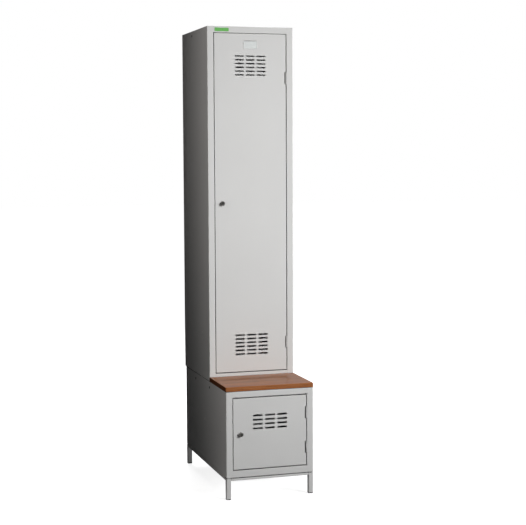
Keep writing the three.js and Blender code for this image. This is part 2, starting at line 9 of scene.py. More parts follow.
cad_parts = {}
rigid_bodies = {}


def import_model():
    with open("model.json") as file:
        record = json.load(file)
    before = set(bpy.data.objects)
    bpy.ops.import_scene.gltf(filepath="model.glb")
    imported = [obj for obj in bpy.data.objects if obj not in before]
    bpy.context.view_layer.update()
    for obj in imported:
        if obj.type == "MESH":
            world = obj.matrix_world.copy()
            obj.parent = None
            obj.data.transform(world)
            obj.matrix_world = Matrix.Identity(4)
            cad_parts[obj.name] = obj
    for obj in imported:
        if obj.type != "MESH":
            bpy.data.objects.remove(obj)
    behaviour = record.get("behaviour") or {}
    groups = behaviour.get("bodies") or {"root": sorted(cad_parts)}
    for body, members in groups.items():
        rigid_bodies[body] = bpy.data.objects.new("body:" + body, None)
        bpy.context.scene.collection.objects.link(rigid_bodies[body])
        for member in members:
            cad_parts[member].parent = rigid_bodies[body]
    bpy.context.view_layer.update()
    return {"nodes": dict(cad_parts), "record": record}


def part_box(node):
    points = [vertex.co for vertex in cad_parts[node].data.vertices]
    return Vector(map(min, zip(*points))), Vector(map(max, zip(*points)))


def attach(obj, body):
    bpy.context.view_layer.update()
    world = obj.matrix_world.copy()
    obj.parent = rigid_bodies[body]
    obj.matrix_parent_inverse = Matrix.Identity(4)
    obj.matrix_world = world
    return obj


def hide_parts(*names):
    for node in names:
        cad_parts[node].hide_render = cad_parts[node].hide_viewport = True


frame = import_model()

X, Y, Z = Vector((1, 0, 0)), Vector((0, 1, 0)), Vector((0, 0, 1))
CABINET, TALL_DOOR, BASE_DOOR = "cabinet", "tall_door_swing", "base_door_swing"
LOCKS = {
    "tall": (TALL_DOOR, "tall_lock_core"),
    "base": (BASE_DOOR, "base_lock_core"),
}

# Facet counts of the turned and rounded pieces
SIDES = 64
SMALL_SIDES = 32
NUT_SIDES = 72
CORNER_STEPS = 6
EASE_STEPS = 4

# Sheet metal edges as punched, sheared and coated
SHEET = 0.001
EDGE = 0.0003
EDGE_STEPS = 2
EDGE_ANGLE = math.radians(40)
FLAT_ANGLE = math.radians(0.2)
WELD = 1e-5


# Node trees
def node(tree, kind, inputs=None, **settings):
    """A shader node. An input that is a socket gets linked, any other value is set."""
    made = tree.nodes.new(f"ShaderNode{kind}")
    for key, value in settings.items():
        setattr(made, key, value)
    for key, value in (inputs or {}).items():
        if isinstance(value, bpy.types.NodeSocket):
            tree.links.new(value, made.inputs[key])
        else:
            made.inputs[key].default_value = value
    return made


def new_material(name, **constants):
    """A material, its tree and its Principled shader, whose plain values are set on its own sockets."""
    made = bpy.data.materials.new(name)
    made.use_nodes = True
    tree = made.node_tree
    shader = tree.nodes["Principled BSDF"]
    for key, value in constants.items():
        shader.inputs[key.replace("_", " ").title().replace("Ior", "IOR")].default_value = value
    return made, tree, shader


def object_place(tree, scale=(1, 1, 1)):
    place = node(tree, "TexCoord").outputs["Object"]
    return stretched(tree, place, scale)


def stretched(tree, place, scale):
    return node(tree, "Mapping", {"Vector": place, "Scale": scale}).outputs["Vector"]


def noise(tree, place, scale, detail=2.0, roughness=0.5):
    inputs = {"Vector": place, "Scale": scale, "Detail": detail, "Roughness": roughness}
    return node(tree, "TexNoise", inputs).outputs["Fac"]


def ramp(tree, factor, *stops):
    """A colour ramp through (position, colour) stops."""
    made = node(tree, "ValToRGB", {"Fac": factor})
    elements = made.color_ramp.elements
    while len(elements) < len(stops):
        elements.new(0.5)
    for element, (position, color) in zip(elements, stops):
        element.position = position
        element.color = (*color, 1)
    return made.outputs["Color"]


def spread(tree, factor, low, high, start=0.0, end=1.0):
    """The factor's stretch from start to end, spread over low to high."""
    inputs = {"Value": factor, "From Min": start, "From Max": end, "To Min": low, "To Max": high}
    return node(tree, "MapRange", inputs).outputs["Result"]


def math_node(tree, operation, first, second=0.0):
    return node(tree, "Math", {0: first, 1: second}, operation=operation).outputs["Value"]


def along_axis(tree, vector, axis):
    return node(tree, "SeparateXYZ", {"Vector": vector}).outputs[axis]


def facing_along(tree, axis):
    """How far the surface faces along an axis, from -1 to 1."""
    return along_axis(tree, node(tree, "NewGeometry").outputs["Normal"], axis)


def mixed(tree, factor, first, second, blend="MIX"):
    """Two colours mixed: 6 and 7 are the node's inputs for colours, and 2 is its output for them."""
    inputs = {"Factor": factor, 6: first, 7: second}
    return node(tree, "Mix", inputs, data_type="RGBA", blend_type=blend).outputs[2]


def bump(tree, height, strength, distance):
    inputs = {"Height": height, "Strength": strength, "Distance": distance}
    return node(tree, "Bump", inputs).outputs["Normal"]


def drive(tree, shader, **links):
    for key, socket in links.items():
        tree.links.new(socket, shader.inputs[key.replace("_", " ").title()])


def toned(color, factor):
    return tuple(min(1.0, channel * factor) for channel in color)


# The middle of a noise, where nearly all of its values lie
NOISE_LOW, NOISE_HIGH = 0.3, 0.7


def shades(tree, factor, color, darkest, lightest):
    """A colour toned from darkest to lightest over the middle of a noise."""
    return ramp(tree, factor, (NOISE_LOW, toned(color, darkest)), (NOISE_HIGH, toned(color, lightest)))


def varied(tree, factor, low, high):
    """A value from low to high over the middle of a noise."""
    return spread(tree, factor, low, high, NOISE_LOW, NOISE_HIGH)


# Painted shade: its colour, the joint where a dark line is painted and how far from it, and how near
# surfaces make a crevice
PAINTED_SHADE = (0.03, 0.028, 0.026, 1)
BODY_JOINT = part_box("tall_floor")[0].z
JOINT_SHADE_REACH = 0.0016
CREVICE = 0.01
CREVICE_SAMPLES = 8

# Colours of the finishes
PAINT = (0.655, 0.655, 0.648)
PLATE_GREEN = (0.135, 0.44, 0.1)
CARD_WHITE = (0.685, 0.715, 0.708)
CLEAR_OVER_PAINT = (0.7, 0.708, 0.704)
RUBBER_BLACK = (0.03, 0.03, 0.03)
PLASTIC_BLACK = (0.022, 0.022, 0.023)
ZINC = (0.6, 0.61, 0.62)
DARK_NICKEL = (0.17, 0.165, 0.155)
LOCK_FACE = (0.06, 0.058, 0.054)


def powder_coat(name, color=PAINT, gloss=0.48):
    """Powder coat: an even tone with a slow drift, a fine peel, a slightly uneven gloss, and painted shade
    in its crevices and along the body joint.
    """
    made, tree, shader = new_material(name, specular_ior_level=0.2)
    place = object_place(tree)
    drift = noise(tree, place, scale=3.0, detail=3.0)
    fleck = noise(tree, place, scale=900.0, detail=1.0)
    tone = shades(tree, drift, color, darkest=0.975, lightest=1.02)
    flecks = shades(tree, fleck, color, darkest=0.8, lightest=1.15)
    flecked = mixed(tree, factor=0.06, first=tone, second=flecks)
    # Painted shade: the coat darkened in its crevices and along the joint between the bodies.
    with_shade = mixed(tree, painted_shade(tree, place), flecked, PAINTED_SHADE)
    peel = noise(tree, place, scale=420.0, detail=3.0, roughness=0.55)
    relief = bump(tree, peel, strength=0.12, distance=0.0004)
    shine = varied(tree, noise(tree, place, scale=60.0), low=gloss - 0.04, high=gloss + 0.05)
    drive(tree, shader, base_color=with_shade, roughness=shine, normal=relief)
    return made


def painted_shade(tree, place):
    """Painted shade on the coat: darkness in its crevices, reaching further on what faces up, and a dark
    line along the joint between the bodies.
    """
    height = along_axis(tree, place, "Z")
    # Painted shade: a dark line along the joint between the bodies, standing in for the seam's shadow.
    off = math_node(tree, "ABSOLUTE", math_node(tree, "SUBTRACT", height, BODY_JOINT))
    joint = spread(tree, off, low=0.9, high=0.0, start=JOINT_SHADE_REACH / 2, end=JOINT_SHADE_REACH)
    # Painted shade: ambient occlusion darkens the coat in its crevices, further on what faces up.
    occlusion = node(tree, "AmbientOcclusion", {"Distance": CREVICE}, samples=CREVICE_SAMPLES)
    shade_until = spread(tree, facing_along(tree, "Z"), low=0.6, high=0.95, start=0.3, end=0.7)
    crevice = spread(tree, occlusion.outputs["AO"], low=0.85, high=0.0, start=0.15, end=shade_until)
    return math_node(tree, "MAXIMUM", joint, crevice)


# Timber of the seat: the width of a stave, how far the figure slides between staves, and the colours
STAVE = 0.0662
SLIDE = 7.0
FIGURE_TONES = (0.28, (0.21, 0.06, 0.012)), (0.5, (0.33, 0.105, 0.022)), (0.74, (0.44, 0.155, 0.036))
STREAK_TONES = (NOISE_LOW, (0.16, 0.045, 0.01)), (NOISE_HIGH, (0.46, 0.18, 0.05))
STAVE_TONES = (0.0, (0.82, 0.82, 0.84)), (1.0, (1.12, 1.08, 1.04))
RING_TONES = (0.1, (0.085, 0.026, 0.01)), (0.9, (0.15, 0.05, 0.018))
PORE_TONE = (0.05, 0.018, 0.01, 1)


def timber(name):
    """Varnished red-brown hardwood in glued staves, grain along X, with end grain on the two ends."""
    made, tree, shader = new_material(name, coat_weight=0.45, coat_roughness=0.05, specular_ior_level=0.05)
    place = node(tree, "TexCoord").outputs["Object"]
    stave = math_node(tree, "FLOOR", math_node(tree, "DIVIDE", along_axis(tree, place, "Y"), STAVE))
    lot = node(tree, "TexWhiteNoise", {"W": stave}, noise_dimensions="1D").outputs["Value"]
    slide = math_node(tree, "MULTIPLY", lot, SLIDE)
    shift = node(tree, "CombineXYZ", {"X": slide, "Z": stave}).outputs["Vector"]
    moved = node(tree, "VectorMath", {0: place, 1: shift}, operation="ADD").outputs["Vector"]
    figure = noise(tree, stretched(tree, moved, (1.0, 14.0, 14.0)), scale=4.0, detail=4.0, roughness=0.6)
    fine = stretched(tree, moved, (10.0, 420.0, 420.0))
    streaks = noise(tree, fine, scale=1.0, detail=3.0, roughness=0.6)
    dots = noise(tree, fine, scale=2.2, detail=1.0)
    pores = spread(tree, dots, low=0.0, high=0.5, start=0.62, end=0.7)
    streaked = mixed(
        tree, factor=0.35, first=ramp(tree, figure, *FIGURE_TONES), second=ramp(tree, streaks, *STREAK_TONES)
    )
    stained = mixed(tree, factor=1.0, first=streaked, second=ramp(tree, lot, *STAVE_TONES), blend="MULTIPLY")
    pored = mixed(tree, pores, stained, PORE_TONE)
    sideways = math_node(tree, "ABSOLUTE", facing_along(tree, "X"))
    end = spread(tree, sideways, low=0.0, high=1.0, start=0.6, end=0.8)
    grain = mixed(tree, end, pored, end_grain(tree, place))
    relief = bump(tree, streaks, strength=0.15, distance=0.0003)
    shine = varied(tree, streaks, low=0.42, high=0.56)
    drive(tree, shader, base_color=grain, roughness=shine, normal=relief)
    return made


def end_grain(tree, place):
    """Growth rings on a sawn end."""
    inputs = {"Vector": place, "Scale": 60.0, "Distortion": 3.0, "Detail": 2.0, "Detail Scale": 1.2}
    rings = node(tree, "TexWave", inputs, wave_type="RINGS", rings_direction="X").outputs["Fac"]
    return ramp(tree, rings, *RING_TONES)


def plated(name, color, gloss, grain):
    """Zinc or nickel plate: metal with a soft cloudiness and fine drawn lines."""
    made, tree, shader = new_material(name, metallic=1.0)
    cloud = noise(tree, object_place(tree), scale=120.0, detail=3.0)
    lines = noise(tree, object_place(tree, (60.0, 900.0, 900.0)), scale=1.0)
    tone = shades(tree, cloud, color, darkest=0.88, lightest=1.1)
    shine = varied(tree, cloud, low=gloss - 0.06, high=gloss + 0.08)
    drawn = bump(tree, lines, strength=grain, distance=0.0001)
    drive(tree, shader, base_color=tone, roughness=shine, normal=drawn)
    return made


def moulded(name, color, gloss, texture=0.1, mottling=0.075, **constants):
    """Plastic, rubber or card: one tone with a slight mottle and a fine texture."""
    made, tree, shader = new_material(name, **constants)
    place = object_place(tree)
    mottle = noise(tree, place, scale=90.0)
    tone = shades(tree, mottle, color, darkest=1 - mottling, lightest=1 + mottling)
    shine = varied(tree, mottle, low=gloss - 0.04, high=gloss + 0.05)
    relief = bump(tree, noise(tree, place, scale=1600.0), strength=texture, distance=0.0001)
    drive(tree, shader, base_color=tone, roughness=shine, normal=relief)
    return made


FINISHES = {
    "paint": powder_coat("paint_powder_coat"),
    "timber": timber("timber_varnished"),
    "plastic": moulded("plastic_black", PLASTIC_BLACK, gloss=0.45),
    "lock": plated("lock_dark_nickel", DARK_NICKEL, gloss=0.36, grain=0.1),
    "lock_face": plated("lock_face_nickel", LOCK_FACE, gloss=0.3, grain=0.1),
    "zinc": plated("zinc_plate", ZINC, gloss=0.32, grain=0.12),
    "rubber": moulded("rubber_black", RUBBER_BLACK, gloss=0.7, texture=0.3),
    "plate": moulded("plate_green", PLATE_GREEN, gloss=0.3, texture=0.05, mottling=0.03),
    "card": moulded("card_blank", CARD_WHITE, gloss=0.6, texture=0.3, mottling=0.02),
    "clear": moulded("clear_plastic", CLEAR_OVER_PAINT, gloss=0.25, texture=0.03, mottling=0.02,
                     specular_ior_level=0.3),
}


# Meshes
def piece(name, bm, finish, body, replaces=()):
    """A finished object from a bmesh: shaded, given its finish, and riding on its body."""
    bmesh.ops.recalc_face_normals(bm, faces=bm.faces)
    mesh = bpy.data.meshes.new(name)
    bm.to_mesh(mesh)
    bm.free()
    made = bpy.data.objects.new(name, mesh)
    bpy.context.scene.collection.objects.link(made)
    mesh.shade_smooth()
    mesh.set_sharp_from_angle(angle=EDGE_ANGLE)
    mesh.materials.append(FINISHES[finish])
    shade = made.modifiers.new("shade", "WEIGHTED_NORMAL")
    shade.mode, shade.keep_sharp = "FACE_AREA", True
    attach(made, body)
    if replaces:
        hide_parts(*replaces)
    return made


def rounded(points, radius):
    """An open outline of (u, v) pairs whose corners are eased, each over at most this radius."""
    result = [Vector(points[0])]
    for before, corner, after in zip(points, points[1:], points[2:]):
        corner = Vector(corner)
        before = Vector(before) - corner
        after = Vector(after) - corner
        reach = min(radius / math.tan(before.angle(after) / 2), before.length / 2, after.length / 2)
        start = corner + before.normalized() * reach
        end = corner + after.normalized() * reach
        for k in range(EASE_STEPS + 1):
            t = k / EASE_STEPS
            result.append(start * (1 - t) ** 2 + corner * 2 * t * (1 - t) + end * t * t)
    result.append(Vector(points[-1]))
    return result


def join_rings(bm, rings, closed=False):
    """Faces between rings of vertices, where a ring of one vertex is a tip."""
    sides = max(len(ring) for ring in rings)
    pairs = list(zip(rings, rings[1:])) + ([(rings[-1], rings[0])] if closed else [])
    for low, high in pairs:
        for i in range(sides):
            j = (i + 1) % sides
            corners = [low[i % len(low)], low[j % len(low)], high[j % len(high)], high[i % len(high)]]
            bm.faces.new(list(dict.fromkeys(corners)))


def spokes(axis, sides):
    """Angles round an axis, each with its unit vector."""
    across = axis.orthogonal().normalized()
    other = axis.cross(across)
    turns = [2 * math.pi * i / sides for i in range(sides)]
    return [(turn, across * math.cos(turn) + other * math.sin(turn)) for turn in turns]


def turned(profile, base, axis, closed=False, sides=SIDES, bm=None):
    """A turned form about an axis: its profile holds (radius, distance along the axis) pairs."""
    bm = bm or bmesh.new()
    rings = []
    for radius, along in profile:
        middle = base + axis * along
        if radius < WELD:
            rings.append([bm.verts.new(middle)])
        else:
            rings.append([bm.verts.new(middle + way * radius) for _, way in spokes(axis, sides)])
    join_rings(bm, rings, closed)
    return bm


def rounded_rectangle(half_u, half_v, radius):
    """Outline of a rectangle about the origin, as a function of how far it is drawn in."""

    def outline(inset):
        corner = max(radius - inset, WELD)
        points = []
        for quarter, (su, sv) in enumerate([(1, 1), (-1, 1), (-1, -1), (1, -1)]):
            for k in range(CORNER_STEPS + 1):
                turn = (quarter + k / CORNER_STEPS) * math.pi / 2
                u = su * (half_u - inset - corner) + corner * math.cos(turn)
                v = sv * (half_v - inset - corner) + corner * math.sin(turn)
                points.append((u, v))
        return points

    return outline


def slab(outline, thickness, ease_low, ease_high, place, bm=None):
    """A plate of that outline whose two rims are rounded."""
    levels = []
    for k in range(EASE_STEPS + 1):
        turn = k / EASE_STEPS * math.pi / 2
        levels.append((ease_low * (1 - math.sin(turn)), ease_low * (1 - math.cos(turn))))
    for k in range(EASE_STEPS + 1):
        turn = k / EASE_STEPS * math.pi / 2
        levels.append((ease_high * (1 - math.cos(turn)), thickness - ease_high * (1 - math.sin(turn))))
    return lofted(outline, levels, place, bm)


def lofted(outline, levels, place, bm=None):
    """A solid through (inset, height) levels of one outline. place turns (u, v, height) into the frame."""
    bm = bm or bmesh.new()
    rings = []
    for inset, height in levels:
        rings.append([bm.verts.new(place @ Vector((u, v, height))) for u, v in outline(inset)])
    join_rings(bm, rings)
    bm.faces.new(rings[0])
    bm.faces.new(rings[-1])
    return bm


def facing(origin, u, v):
    """The matrix that takes (u, v, height) to the frame, with height along u x v."""
    w = u.cross(v)
    return Matrix.Translation(origin) @ Matrix((u, v, w)).transposed().to_4x4()


def centre(name):
    low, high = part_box(name)
    return (low + high) / 2


def carved(bm, *cutters):
    """The solid less the cutters, by an exact boolean that is applied at once."""
    body = scratch(bm)
    for cutter in cutters:
        cut = body.modifiers.new("cut", "BOOLEAN")
        cut.operation, cut.solver, cut.object = "DIFFERENCE", "EXACT", scratch(cutter)
    graph = bpy.context.evaluated_depsgraph_get()
    result = bmesh.new()
    result.from_object(body, graph)
    tools = [modifier.object for modifier in body.modifiers]
    for made in [body, *tools]:
        bpy.data.objects.remove(made)
    return result


def scratch(bm):
    """A passing object that holds a bmesh for a boolean."""
    made = bpy.data.objects.new("scratch", scratch_mesh(bm))
    bpy.context.scene.collection.objects.link(made)
    return made


def scratch_mesh(bm):
    bmesh.ops.recalc_face_normals(bm, faces=bm.faces)
    mesh = bpy.data.meshes.new("scratch")
    bm.to_mesh(mesh)
    bm.free()
    return mesh


# The sheet metal and the other pieces that keep their solid
def dress_frame(kept):
    """Rounds every hard edge of a kept solid a little and shades it by its large faces."""
    for name in kept:
        made = frame["nodes"][name]
        made.data.shade_smooth()
        add = made.modifiers.new
        add("weld", "WELD").merge_threshold = WELD
        flat = add("flat", "DECIMATE")
        flat.decimate_type, flat.angle_limit = "DISSOLVE", FLAT_ANGLE
        edge = add("edge", "BEVEL")
        edge.width, edge.segments = EDGE, EDGE_STEPS
        edge.limit_method, edge.angle_limit = "ANGLE", EDGE_ANGLE
        shade = add("shade", "WEIGHTED_NORMAL")
        shade.mode, shade.keep_sharp = "FACE_AREA", False


def paint_frame():
    """Each solid gets the finish of its slot in the record."""
    slots = {row["node"]: row["material_slot"] for row in frame["record"]["subparts"]}
    for name, made in frame["nodes"].items():
        made.data.materials.clear()
        made.data.materials.append(FINISHES[slots[name]])


# Seat
SEAT_CORNER = 0.005
SEAT_EASE_BELOW, SEAT_EASE_ABOVE = 0.0015, 0.0028


def seat():
    low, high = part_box("seat_board")
    half = (high - low) / 2
    place = facing(Vector((0, (low.y + high.y) / 2, low.z)), X, Y)
    outline = rounded_rectangle(half.x, half.y, SEAT_CORNER)
    board = slab(outline, high.z - low.z, SEAT_EASE_BELOW, SEAT_EASE_ABOVE, place)
    piece("seat_plank", board, "timber", CABINET, ["seat_board"])


# Locks
def lock(name):
    """The barrel, whose head has a domed rim and a groove in front of the door, and what it carries."""
    door, core = LOCKS[name]
    barrel, plug = f"{name}_lock_barrel", f"{name}_lock_plug"
    low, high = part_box(barrel)
    base = Vector((centre(barrel).x, 0, centre(barrel).z))
    radius = (high.x - low.x) / 2
    front, back = low.y, high.y
    door_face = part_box(f"{name}_lock_nut")[0].y - SHEET
    plug_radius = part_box(plug)[1].x - base.x
    play, mouth, mouth_depth, rim, ease = 0.0003, 0.0005, 0.0004, 0.0022, 0.0005
    groove_depth, groove_slope, groove_front, groove_back = 0.0007, 0.0004, 0.0032, 0.0018
    lift, thread = 0.0004, 0.001
    bore, root, shank = plug_radius + play, radius - groove_depth, radius - thread
    head = rounded(
        [
            (bore, back), (bore, front + mouth_depth), (bore + mouth, front), (radius - rim, front),
            (radius, front + rim), (radius, door_face - groove_front),
            (root, door_face - groove_front + groove_slope), (root, door_face - groove_back - groove_slope),
            (radius, door_face - groove_back), (radius, door_face - lift), (shank, door_face - lift),
            (shank, back),
        ],
        ease,
    )
    piece(f"{name}_lock_head", turned(head, base, Y, closed=True), "lock", door, [barrel])
    lock_core(name, core, base, plug, plug_radius)
    lock_nut(name, door, base)
    cam_screw(name, core, base)


def lock_core(name, body, base, plug, radius):
    """The turning plug: a dished face with its keyway, and the square tail that carries the cam."""
    front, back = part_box(plug)[0].y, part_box(plug)[1].y
    dish, rim, slope, ease, clearance = 0.0006, 0.0011, 0.0005, 0.0003, 0.0004
    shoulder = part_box(f"{name}_lock_cam")[0].y - clearance
    face = rounded(
        [(0, front + dish), (radius - rim - slope, front + dish), (radius - rim, front), (radius, front),
         (radius, shoulder), (0, shoulder)],
        ease,
    )
    key_half_width, key_half_length, key_corner = 0.0006, 0.0034, 0.0004
    key_depth, overrun = 0.005, 0.003
    key_outline = rounded_rectangle(key_half_width, key_half_length, key_corner)
    key_place = facing(base + Y * (front + key_depth), X, Z)
    keyway = slab(key_outline, key_depth + overrun, 0, 0, key_place)
    tail_half, tail_corner, tail_ease = 0.0035, 0.0005, 0.0002
    tail_outline = rounded_rectangle(tail_half, tail_half, tail_corner)
    tail = slab(tail_outline, back - shoulder, tail_ease, tail_ease, facing(base + Y * back, X, Z))
    core = carved(turned(face, base, Y), keyway)
    core.from_mesh(scratch_mesh(tail))
    piece(f"{name}_lock_cylinder", core, "lock_face", body, [plug])


# A hexagon's crown circle as a share of its flats, and the slope of the cone that cuts its corners
CROWN_SHARE = 0.96
CROWN_SLOPE = math.tan(math.radians(30))


def nut_form(base, axis, flats, height, bore, bm=None):
    """A hexagon nut or head whose corners are cut by a cone at the end that the axis points to."""
    bm = bm or bmesh.new()
    crown = flats / 2 * CROWN_SHARE
    rims = []
    for turn, way in spokes(axis, NUT_SIDES):
        sector = (turn + math.pi / 6) % (math.pi / 3) - math.pi / 6
        out = flats / 2 / math.cos(sector)
        top = height - (out - crown) * CROWN_SLOPE
        rims.append([way * bore, way * out, way * out + axis * top, way * crown + axis * height,
                     way * bore + axis * height])
    columns = [[bm.verts.new(base + point) for point in rim] for rim in rims]
    rings = [[column[k] for column in columns] for k in range(len(rims[0]))]
    if bore > 0:
        join_rings(bm, rings, closed=True)
        return bm
    join_rings(bm, rings[1:-1])
    bm.faces.new(rings[1])
    bm.faces.new(rings[-2])
    bmesh.ops.delete(bm, geom=rings[0] + rings[-1], context="VERTS")
    return bm


def lock_nut(name, body, base):
    low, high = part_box(f"{name}_lock_nut")
    flats = min(high.x - low.x, high.z - low.z)
    bore = 0.0083
    nut = nut_form(base + Y * low.y, Y, flats, high.y - low.y, bore)
    piece(f"{name}_lock_ring_nut", nut, "zinc", body, [f"{name}_lock_nut"])


def cam_screw(name, body, base):
    """The slotted screw that holds the cam on its tail."""
    node_name = f"{name}_lock_cam_screw"
    low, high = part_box(node_name)
    shank, head, foot, brim, crown, ease = 0.0016, 0.0025, 0.0042, 0.0048, 0.0036, 0.0004
    profile = rounded([(0, low.y), (shank, low.y), (shank, high.y - head), (foot, high.y - head),
                       (brim, high.y - head / 2), (crown, high.y), (0, high.y)], ease)
    slot_half_width, slot_half_length, slot_corner = 0.0006, 0.008, 0.0002
    slot_depth, overrun = 0.0012, 0.0028
    slot_outline = rounded_rectangle(slot_half_width, slot_half_length, slot_corner)
    slot_place = facing(base + Y * (high.y + overrun), X, Z)
    slot = slab(slot_outline, slot_depth + overrun, 0, 0, slot_place)
    piece(f"{name}_cam_fixing", carved(turned(profile, base, Y), slot), "zinc", body, [node_name])


# Small fittings
def hinge_pins():
    step, cap, ease = 0.0008, 0.0004, 0.0003
    for name in LOCKS:
        for place in ("top", "bottom"):
            node_name = f"{name}_hinge_{place}_pin"
            low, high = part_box(node_name)
            base = Vector((centre(node_name).x, centre(node_name).y, 0))
            head = (high.x - low.x) / 2
            shank = head - step
            profile = rounded([(0, low.z), (shank, low.z), (shank, high.z - cap), (head, high.z - cap),
                               (head - cap / 2, high.z), (0, high.z)], ease)
            piece(f"{name}_hinge_{place}_rod", turned(profile, base, Z), "zinc", CABINET, [node_name])


def buffers():
    """Push-in rubber buffers: a head, a stem through the stop and a bulb behind it."""
    head, face, brim, head_depth = 0.005, 0.003, 0.0009, 0.0024
    stem, bulb, bulb_length, ease = 0.0022, 0.0032, 0.0025, 0.0006
    for name in LOCKS:
        for place in ("top", "bottom"):
            node_name = f"{name}_buffer_{place}"
            low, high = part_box(node_name)
            base = Vector((centre(node_name).x, 0, centre(node_name).z))
            back_of_head, neck = low.y + head_depth, high.y - bulb_length
            profile = rounded([(0, low.y), (face, low.y), (head, low.y + brim), (head, back_of_head),
                               (stem, back_of_head), (stem, neck), (bulb, neck), (stem, high.y),
                               (0, high.y)], ease)
            piece(f"{name}_stop_{place}", turned(profile, base, Y), "rubber", CABINET, [node_name])


def coat_rail():
    low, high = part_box("coat_rail")
    radius = (high.z - low.z) / 2
    base = Vector((0, centre("coat_rail").y, centre("coat_rail").z))
    wall = 0.0015
    bore = radius - wall
    tube = [(bore, low.x), (radius, low.x), (radius, high.x), (bore, high.x)]
    piece("coat_rail_tube", turned(tube, base, X, closed=True), "zinc", CABINET, ["coat_rail"])
    for side in ("left", "right"):
        rail_socket(side, base, radius)


def rail_socket(side, base, rail_radius):
    """A flange with the cup that holds the rail's end, and its two screws."""
    name = f"coat_rail_socket_{side}"
    low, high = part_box(name)
    wall, play, plate, ease = 0.0023, 0.0003, 0.002, 0.0006
    screw_radius, screw_height, screw_sides = 0.0024, 0.001, 24
    flange, cup, bore = (high.z - low.z) / 2, rail_radius + wall, rail_radius + play
    inward = X if side == "left" else -X
    foot = base + X * (low.x if side == "left" else high.x)
    depth = high.x - low.x
    profile = rounded([(0, 0), (flange, 0), (flange, plate), (cup, plate), (cup, depth), (bore, depth),
                       (bore, plate), (0, plate)], ease)
    made = turned(profile, foot, inward)
    for way in (Z, -Z):
        seat_of_head = foot + inward * plate + way * (flange + cup) / 2
        turned(pan_head(screw_radius, screw_height), seat_of_head, inward, bm=made, sides=screw_sides)
    piece(f"coat_rail_cup_{side}", made, "zinc", CABINET, [name])


def pan_head(radius, height):
    """Profile of a screw's pan head: a steep brim and a flat top, with eased edges."""
    brim_share, brim_height_share, top_share = 0.92, 0.7, 0.5
    return rounded([(0, 0), (radius, 0), (radius * brim_share, height * brim_height_share),
                    (radius * top_share, height), (0, height)], height / 3)


def foot_caps():
    """Caps under the legs: a lip as wide as the leg, and the insert inside its tube."""
    lip, corner, ease_below, ease_above = 0.004, 0.0028, 0.0016, 0.0003
    wall, insert_corner, insert_ease = 0.0018, 0.001, 0.0004
    for front in ("front", "back"):
        for side in ("left", "right"):
            name = f"foot_cap_{front}_{side}"
            low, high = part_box(name)
            half = (high.x - low.x) / 2
            base = Vector((centre(name).x, centre(name).y, 0))
            outline = rounded_rectangle(half, half, corner)
            cap = slab(outline, lip, ease_below, ease_above, facing(base, X, Y))
            insert = rounded_rectangle(half - wall, half - wall, insert_corner)
            slab(insert, high.z - lip, 0, insert_ease, facing(base + Z * lip, X, Y), bm=cap)
            piece(f"foot_{front}_{side}", cap, "plastic", CABINET, [name])


def card_holder():
    """A low clear frame, open at its back and its top, with sloped edges outside and round its window."""
    low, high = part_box("tall_card_holder")
    middle = centre("tall_card_holder")
    half = (high - low) / 2
    depth = high.y - low.y
    rim, wall, slope, run = 0.003, 0.0006, 0.001, 0.01
    corner, window_corner, pocket_corner, lip_share = 0.0022, 0.0016, 0.001, 0.3
    place = facing(Vector((middle.x, high.y, middle.z)), X, Z)
    lip = slope * lip_share
    levels = [(0, 0), (0, depth - slope), (lip, depth - lip), (slope, depth)]
    body = lofted(rounded_rectangle(half.x, half.z, corner), levels, place)
    window_middle = Vector((middle.x, high.y, middle.z + (rim + run) / 2))
    window = lofted(
        rounded_rectangle(half.x - rim + slope, half.z + (run - rim) / 2 + slope, window_corner),
        [(slope, -slope), (slope, wall), (0, depth), (0, depth + slope)],
        facing(window_middle, X, Z),
    )
    pocket_middle = Vector((middle.x, high.y + run, middle.z + (wall + run) / 2))
    pocket_outline = rounded_rectangle(half.x - wall, half.z + (run - wall) / 2, pocket_corner)
    pocket = slab(pocket_outline, wall + run, 0, 0, facing(pocket_middle, X, Z))
    piece("card_holder_moulding", carved(body, window, pocket), "clear", TALL_DOOR, ["tall_card_holder"])


def name_card():
    low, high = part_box("tall_name_card")
    half = (high - low) / 2
    middle = centre("tall_name_card")
    corner, ease = 0.0012, 0.0001
    place = facing(Vector((middle.x, high.y, middle.z)), X, Z)
    card = slab(rounded_rectangle(half.x, half.z, corner), high.y - low.y, ease, ease, place)
    piece("name_card_blank", card, "card", TALL_DOOR, ["tall_name_card"])


def rail_plate():
    """The bare green plate at the left of the tall body's top rail."""
    door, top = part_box("tall_door"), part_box("tall_top")
    width, height, thickness = 0.062, 0.0148, 0.0012
    inset, drop, corner, ease_back, ease_front = 0.003, 0.0062, 0.002, 0.0001, 0.0005
    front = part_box("tall_left_side")[0].y
    middle = Vector((door[0].x + inset + width / 2, front, top[1].z - drop - height / 2))
    outline = rounded_rectangle(width / 2, height / 2, corner)
    plate = slab(outline, thickness, ease_back, ease_front, facing(middle, X, Z))
    piece("top_rail_plate", plate, "plate", CABINET)


# Corners of the fronts: width of a stile, heights of the rails, radius of a fold and width of a weld
STILE = 0.0275
RAILS = {"tall": {"top": 0.027, "floor": 0.0325}, "base": {"top": 0.026, "floor": 0.0295}}
FOLD = 0.0016
WELD_WIDTH = 0.0018

# Link holes: their drop below the top, and their setbacks from the front
LINK_HOLES = {"tall": (0.0205, [0.266]), "base": (0.026, [0.270, 0.512])}

# Rivets of the sides: setback from the front and rise above the floor tray
RIVETS = {
    "tall": [(0.117, 0.197), (0.117, 1.285)],
    "base": [(0.0955, 0.182), (0.3475, 0.182), (0.5995, 0.182)],
}


